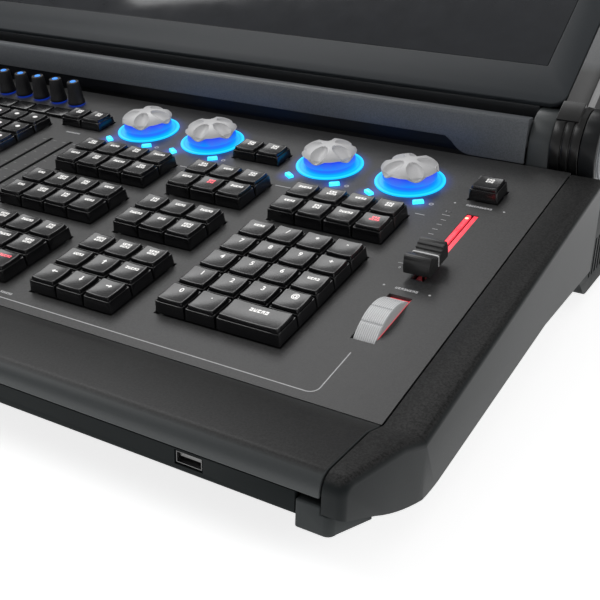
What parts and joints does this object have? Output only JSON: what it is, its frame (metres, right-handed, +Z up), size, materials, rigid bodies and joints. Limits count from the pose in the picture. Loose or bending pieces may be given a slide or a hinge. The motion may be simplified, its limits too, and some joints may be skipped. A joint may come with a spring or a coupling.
{
  "type": "lighting control desk",
  "caption": "Stage lighting control desk with keypads, encoders, faders, a level wheel and a hinged touch screen along the back.",
  "frame": {"origin": "on the floor under the middle of the desk's bounding box", "axes": "+X to the operator's right, +Y away from the operator, +Z up"},
  "size_m": [0.742, 0.57, 0.253],
  "materials": {
    "moulding": "fine texture",
    "side_paint": "satin",
    "tray_paint": "satin",
    "panel_paint": "fine texture",
    "rail_paint": "satin",
    "foot_rubber": "matte",
    "screw_steel": "satin",
    "socket_metal": "satin",
    "inlet_plastic": "gloss",
    "hinge_metal": "satin",
    "bezel_plastic": "fine texture",
    "screen_glass": "gloss",
    "display_module": "matte",
    "board": "solder mask",
    "silicone": "matte",
    "key_plastic": "gloss",
    "knob_plastic": "matte",
    "encoder_silver": "satin",
    "cap_plastic": "gloss",
    "ring_light": "clear, lit blue",
    "button_light": "clear, lit blue",
    "wheel_plastic": "satin"
  },
  "bodies": {
    "desk": {"armrest": "moulding", "base_pan": "tray_paint", "bottom_screws": "screw_steel", "cheek_left": "moulding", "cheek_right": "moulding", "control_board": "board", "control_panel": "panel_paint", "corner_blocks": "side_paint", "data_ports": "socket_metal", "encoder_light_rings": "ring_light", "fader_frames": "screw_steel", "front_fascia": "side_paint", "hinge_brackets": "rail_paint", "hinge_covers": "hinge_metal", "key_mats": "silicone", "power_inlet": "inlet_plastic", "power_supply": "screw_steel", "rear_deck": "tray_paint", "rear_panel": "tray_paint", "rear_rail": "rail_paint", "rear_side_left": "side_paint", "rear_side_right": "side_paint", "rubber_feet": "foot_rubber", "usb_port_front": "socket_metal", "wheel_carrier": "screw_steel", "xlr_outputs": "socket_metal"},
    "screen": {"screen_arms": "hinge_metal", "screen_bezel": "bezel_plastic", "screen_glass": "screen_glass", "screen_back": "bezel_plastic", "display_panels": "display_module"},
    "numeric_keys": {"keys_numeric": "key_plastic"},
    "enter_key": {"key_enter": "key_plastic"},
    "cursor_keys": {"keys_cursor": "key_plastic"},
    "programmer_keys": {"keys_programmer": "key_plastic"},
    "middle_keys": {"keys_middle": "key_plastic"},
    "upper_keys": {"keys_upper": "key_plastic"},
    "grand_master_key": {"key_grand_master": "key_plastic"},
    "executor_keys": {"keys_executor": "key_plastic"},
    "playback_keys": {"keys_playback": "key_plastic"},
    "encoder_buttons": {"encoder_buttons": "button_light"},
    "encoder_1": {"encoder_knob_1": "encoder_silver"},
    "encoder_2": {"encoder_knob_2": "encoder_silver"},
    "encoder_3": {"encoder_knob_3": "encoder_silver"},
    "encoder_4": {"encoder_knob_4": "encoder_silver"},
    "playback_knob_01": {"playback_knob_01": "knob_plastic"},
    "playback_knob_02": {"playback_knob_02": "knob_plastic"},
    "playback_knob_03": {"playback_knob_03": "knob_plastic"},
    "playback_knob_04": {"playback_knob_04": "knob_plastic"},
    "playback_knob_05": {"playback_knob_05": "knob_plastic"},
    "playback_knob_06": {"playback_knob_06": "knob_plastic"},
    "playback_knob_07": {"playback_knob_07": "knob_plastic"},
    "playback_knob_08": {"playback_knob_08": "knob_plastic"},
    "playback_knob_09": {"playback_knob_09": "knob_plastic"},
    "playback_knob_10": {"playback_knob_10": "knob_plastic"},
    "playback_faders": {"playback_fader_caps": "cap_plastic"},
    "crossfader_left": {"crossfader_cap_left": "cap_plastic"},
    "crossfader_right": {"crossfader_cap_right": "cap_plastic"},
    "grand_master": {"grand_master_cap": "cap_plastic"},
    "intensity_wheel": {"intensity_wheel": "wheel_plastic"}
  },
  "joints": [
    {"name": "screen_tilt", "type": "hinge", "parent": "desk", "child": "screen", "pos_m": [0, 0.0565, 0.111], "axis": [1, 0, 0], "range_deg": [-34, 30]},
    {"name": "numeric_keys_press", "type": "slide", "parent": "desk", "child": "numeric_keys", "axis": [0, 0.1736, -0.9848], "range_m": [0, 0.002], "stiffness_N_per_m": 1200, "springref_m": -0.002},
    {"name": "enter_key_press", "type": "slide", "parent": "desk", "child": "enter_key", "axis": [0, 0.1736, -0.9848], "range_m": [0, 0.002], "stiffness_N_per_m": 400, "springref_m": -0.002},
    {"name": "cursor_keys_press", "type": "slide", "parent": "desk", "child": "cursor_keys", "axis": [0, 0.1736, -0.9848], "range_m": [0, 0.002], "stiffness_N_per_m": 800, "springref_m": -0.002},
    {"name": "programmer_keys_press", "type": "slide", "parent": "desk", "child": "programmer_keys", "axis": [0, 0.1736, -0.9848], "range_m": [0, 0.002], "stiffness_N_per_m": 1000, "springref_m": -0.002},
    {"name": "middle_keys_press", "type": "slide", "parent": "desk", "child": "middle_keys", "axis": [0, 0.1736, -0.9848], "range_m": [0, 0.002], "stiffness_N_per_m": 1000, "springref_m": -0.002},
    {"name": "upper_keys_press", "type": "slide", "parent": "desk", "child": "upper_keys", "axis": [0, 0.1736, -0.9848], "range_m": [0, 0.002], "stiffness_N_per_m": 1500, "springref_m": -0.002},
    {"name": "grand_master_key_press", "type": "slide", "parent": "desk", "child": "grand_master_key", "axis": [0, 0.1736, -0.9848], "range_m": [0, 0.002], "stiffness_N_per_m": 300, "springref_m": -0.002},
    {"name": "executor_keys_press", "type": "slide", "parent": "desk", "child": "executor_keys", "axis": [0, 0.1736, -0.9848], "range_m": [0, 0.002], "stiffness_N_per_m": 2500, "springref_m": -0.002},
    {"name": "playback_keys_press", "type": "slide", "parent": "desk", "child": "playback_keys", "axis": [0, 0.1736, -0.9848], "range_m": [0, 0.002], "stiffness_N_per_m": 2500, "springref_m": -0.002},
    {"name": "encoder_buttons_press", "type": "slide", "parent": "desk", "child": "encoder_buttons", "axis": [0, 0.1736, -0.9848], "range_m": [0, 0.0006], "stiffness_N_per_m": 400, "springref_m": -0.001},
    {"name": "encoder_1_turn", "type": "hinge", "parent": "desk", "child": "encoder_1", "pos_m": [0.0526, -0.01064, 0.09065], "axis": [0, -0.1736, 0.9848], "continuous": true},
    {"name": "encoder_2_turn", "type": "hinge", "parent": "desk", "child": "encoder_2", "pos_m": [0.1089, -0.01064, 0.09065], "axis": [0, -0.1736, 0.9848], "continuous": true},
    {"name": "encoder_3_turn", "type": "hinge", "parent": "desk", "child": "encoder_3", "pos_m": [0.204, -0.01291, 0.09025], "axis": [0, -0.1736, 0.9848], "continuous": true},
    {"name": "encoder_4_turn", "type": "hinge", "parent": "desk", "child": "encoder_4", "pos_m": [0.2624, -0.01478, 0.08992], "axis": [0, -0.1736, 0.9848], "continuous": true},
    {"name": "playback_knob_01_turn", "type": "hinge", "parent": "desk", "child": "playback_knob_01", "pos_m": [-0.0337, 0.00876, 0.09407], "axis": [0, -0.1736, 0.9848], "continuous": true},
    {"name": "playback_knob_02_turn", "type": "hinge", "parent": "desk", "child": "playback_knob_02", "pos_m": [-0.0521, 0.00876, 0.09407], "axis": [0, -0.1736, 0.9848], "continuous": true},
    {"name": "playback_knob_03_turn", "type": "hinge", "parent": "desk", "child": "playback_knob_03", "pos_m": [-0.0705, 0.00876, 0.09407], "axis": [0, -0.1736, 0.9848], "continuous": true},
    {"name": "playback_knob_04_turn", "type": "hinge", "parent": "desk", "child": "playback_knob_04", "pos_m": [-0.0889, 0.00876, 0.09407], "axis": [0, -0.1736, 0.9848], "continuous": true},
    {"name": "playback_knob_05_turn", "type": "hinge", "parent": "desk", "child": "playback_knob_05", "pos_m": [-0.1073, 0.00876, 0.09407], "axis": [0, -0.1736, 0.9848], "continuous": true},
    {"name": "playback_knob_06_turn", "type": "hinge", "parent": "desk", "child": "playback_knob_06", "pos_m": [-0.1257, 0.00876, 0.09407], "axis": [0, -0.1736, 0.9848], "continuous": true},
    {"name": "playback_knob_07_turn", "type": "hinge", "parent": "desk", "child": "playback_knob_07", "pos_m": [-0.1441, 0.00876, 0.09407], "axis": [0, -0.1736, 0.9848], "continuous": true},
    {"name": "playback_knob_08_turn", "type": "hinge", "parent": "desk", "child": "playback_knob_08", "pos_m": [-0.1625, 0.00876, 0.09407], "axis": [0, -0.1736, 0.9848], "continuous": true},
    {"name": "playback_knob_09_turn", "type": "hinge", "parent": "desk", "child": "playback_knob_09", "pos_m": [-0.1809, 0.00876, 0.09407], "axis": [0, -0.1736, 0.9848], "continuous": true},
    {"name": "playback_knob_10_turn", "type": "hinge", "parent": "desk", "child": "playback_knob_10", "pos_m": [-0.1993, 0.00876, 0.09407], "axis": [0, -0.1736, 0.9848], "continuous": true},
    {"name": "playback_faders_slide", "type": "slide", "parent": "desk", "child": "playback_faders", "axis": [0, 0.9848, 0.1736], "range_m": [0, 0.06]},
    {"name": "crossfader_left_slide", "type": "slide", "parent": "desk", "child": "crossfader_left", "axis": [0, 0.9848, 0.1736], "range_m": [0, 0.1]},
    {"name": "crossfader_right_slide", "type": "slide", "parent": "desk", "child": "crossfader_right", "axis": [0, 0.9848, 0.1736], "range_m": [0, 0.1]},
    {"name": "grand_master_slide", "type": "slide", "parent": "desk", "child": "grand_master", "axis": [0, 0.9848, 0.1736], "range_m": [0, 0.06]},
    {"name": "intensity_wheel_turn", "type": "hinge", "parent": "desk", "child": "intensity_wheel", "pos_m": [0.3138, -0.15356, 0.04139], "axis": [1, 0, 0], "continuous": true}
  ]
}
